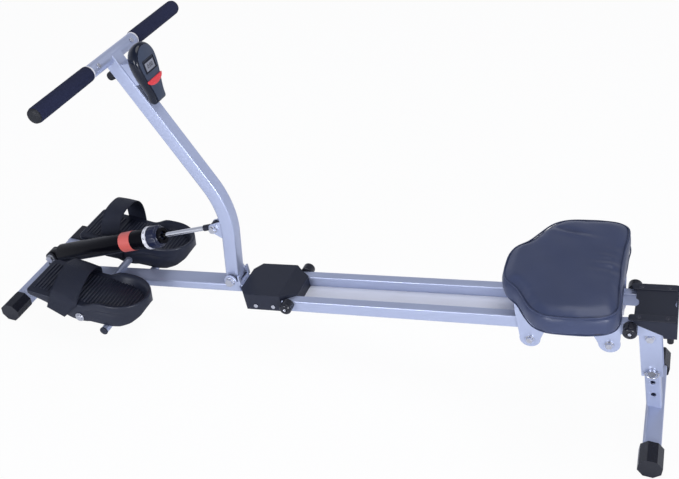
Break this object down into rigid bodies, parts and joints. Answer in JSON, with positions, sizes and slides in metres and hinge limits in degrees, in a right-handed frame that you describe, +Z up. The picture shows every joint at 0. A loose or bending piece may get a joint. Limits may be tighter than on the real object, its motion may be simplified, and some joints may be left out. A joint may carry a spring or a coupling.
{
  "type": "rowing machine",
  "caption": "Compact home rowing machine with a sloped twin rail, sliding padded seat, footplates with straps and a pivoting handlebar post worked by a hydraulic cylinder.",
  "frame": {"origin": "centre of the footprint on the floor, under the middle of the machine", "axes": "+X from the feet towards the seat end, +Y across the machine, +Z up"},
  "size_m": [1.377, 0.493, 0.6256],
  "materials": {
    "silver_paint": "satin metallic paint",
    "black_bracket": "satin",
    "zinc_hardware": "zinc plated",
    "black_plastic": "moulded grain",
    "black_rubber": "matt",
    "gloss_black": "gloss",
    "cylinder_paint": "gloss",
    "panel_plastic": "satin",
    "display_glass": "semi-gloss",
    "red_plastic": "gloss",
    "red_band": "satin film",
    "white_plastic": "satin",
    "chrome": "polished",
    "steel_tube": "bright",
    "foam": "closed-cell foam",
    "webbing": "woven nylon",
    "vinyl": "soft vinyl, semi-gloss",
    "plywood": "sealed"
  },
  "bodies": {
    "frame": {"front_stabilizer": "silver_paint", "rear_stabilizer": "silver_paint", "stabilizer_end_caps": "black_plastic", "main_beam": "silver_paint", "cylinder_bracket": "black_bracket", "cylinder_lower_bolt": "zinc_hardware", "pedal_axle": "silver_paint", "pedal_rest_bar": "silver_paint", "rest_bar_plugs": "black_plastic", "pedal_bolts": "zinc_hardware", "pivot_bracket": "silver_paint", "lever_bolt": "zinc_hardware", "joint_channel": "silver_paint", "frame_bolts": "zinc_hardware", "seat_rails": "silver_paint", "rail_floor_plate": "silver_paint", "front_cover": "black_plastic", "rear_cover": "black_plastic", "cover_screws": "zinc_hardware", "rail_bumpers": "black_rubber", "rear_crossmember": "silver_paint", "leg_bracket": "silver_paint", "leg_post": "silver_paint", "storage_feet": "black_rubber"},
    "lever": {"handlebar_post": "silver_paint", "lever_bushes": "black_plastic", "cylinder_ears": "silver_paint", "cylinder_upper_bolt": "zinc_hardware", "post_buffer": "black_rubber", "handlebar_sleeve": "silver_paint", "handle_tubes": "steel_tube", "handle_collars": "white_plastic", "foam_grips": "foam", "grip_end_caps": "black_plastic", "sleeve_screws": "zinc_hardware", "monitor_bracket": "silver_paint", "monitor_housing": "gloss_black", "monitor_face": "panel_plastic", "monitor_display": "display_glass"},
    "button": {"monitor_button": "red_plastic"},
    "cylinder": {"cylinder_body": "cylinder_paint", "cylinder_band": "red_band"},
    "knob": {"resistance_knob": "gloss_black", "number_ring": "white_plastic"},
    "rod": {"piston_rod": "chrome", "rod_eye": "black_plastic"},
    "left_footrest": {"left_pedal": "black_plastic", "left_strap": "webbing"},
    "right_footrest": {"right_pedal": "black_plastic", "right_strap": "webbing"},
    "seat": {"seat_pad": "vinyl", "seat_board": "plywood", "seat_carriage": "silver_paint", "roller_bolts": "zinc_hardware"},
    "front_roller_set": {"front_rollers": "white_plastic"},
    "rear_roller_set": {"rear_rollers": "white_plastic"},
    "front_lower_roller_set": {"front_lower_rollers": "white_plastic"},
    "rear_lower_roller_set": {"rear_lower_rollers": "white_plastic"},
    "pin": {"lock_pin": "zinc_hardware"},
    "ring": {"pin_ring": "zinc_hardware"}
  },
  "joints": [
    {"name": "lever_swing", "type": "hinge", "parent": "frame", "child": "lever", "pos_m": [-0.19507, 0, 0.12673], "axis": [0, 1, 0], "range_deg": [-4, 40]},
    {"name": "cylinder_swing", "type": "hinge", "parent": "frame", "child": "cylinder", "pos_m": [-0.6462, 0, 0.071], "axis": [0, 1, 0], "range_deg": [-0.35, 3.52]},
    {"name": "rod_pivot", "type": "hinge", "parent": "lever", "child": "rod", "pos_m": [-0.22857, 0, 0.24373], "axis": [0, -1, 0], "range_deg": [-3.65, 36.48]},
    {"name": "resistance_dial", "type": "hinge", "parent": "cylinder", "child": "knob", "pos_m": [-0.6462, 0, 0.071], "axis": [0.9241, 0, 0.3822], "range_deg": [0, 330]},
    {"name": "reset_button", "type": "slide", "parent": "lever", "child": "button", "axis": [-0.9659, 0, -0.2588], "range_m": [0, 0.0015]},
    {"name": "left_pedal_tilt", "type": "hinge", "parent": "frame", "child": "left_footrest", "pos_m": [-0.48221, 0.102, 0.06281], "axis": [0, -1, 0], "range_deg": [0, 25]},
    {"name": "right_pedal_tilt", "type": "hinge", "parent": "frame", "child": "right_footrest", "pos_m": [-0.48221, -0.102, 0.06281], "axis": [0, -1, 0], "range_deg": [0, 25]},
    {"name": "seat_slide", "type": "slide", "parent": "frame", "child": "seat", "axis": [-0.9829, 0, -0.1839], "range_m": [0, 0.442]},
    {"name": "front_roller_spin", "type": "hinge", "parent": "seat", "child": "front_roller_set", "pos_m": [0.41031, 0, 0.23788], "axis": [0, 1, 0], "continuous": true},
    {"name": "rear_roller_spin", "type": "hinge", "parent": "seat", "child": "rear_roller_set", "pos_m": [0.54694, 0, 0.26345], "axis": [0, 1, 0], "continuous": true},
    {"name": "front_lower_roller_spin", "type": "hinge", "parent": "seat", "child": "front_lower_roller_set", "pos_m": [0.42168, 0, 0.17714], "axis": [0, 1, 0], "continuous": true},
    {"name": "rear_lower_roller_spin", "type": "hinge", "parent": "seat", "child": "rear_lower_roller_set", "pos_m": [0.55831, 0, 0.20271], "axis": [0, 1, 0], "continuous": true},
    {"name": "lock_pin_pull", "type": "slide", "parent": "frame", "child": "pin", "axis": [0, -1, 0], "range_m": [0, 0.06]},
    {"name": "ring_flip", "type": "hinge", "parent": "pin", "child": "ring", "pos_m": [0.64349, -0.022, 0.124], "axis": [-0.9744, 0, -0.225], "range_deg": [-10, 80]}
  ],
  "couplings": [
    {"joint": "cylinder_swing", "follows": "lever_swing", "ratio": 0.088},
    {"joint": "rod_pivot", "follows": "lever_swing", "ratio": 0.912},
    {"joint": "front_roller_spin", "follows": "seat_slide", "rad_per_m": -56.818},
    {"joint": "rear_roller_spin", "follows": "seat_slide", "rad_per_m": -56.818},
    {"joint": "front_lower_roller_spin", "follows": "seat_slide", "rad_per_m": 56.818},
    {"joint": "rear_lower_roller_spin", "follows": "seat_slide", "rad_per_m": 56.818}
  ]
}
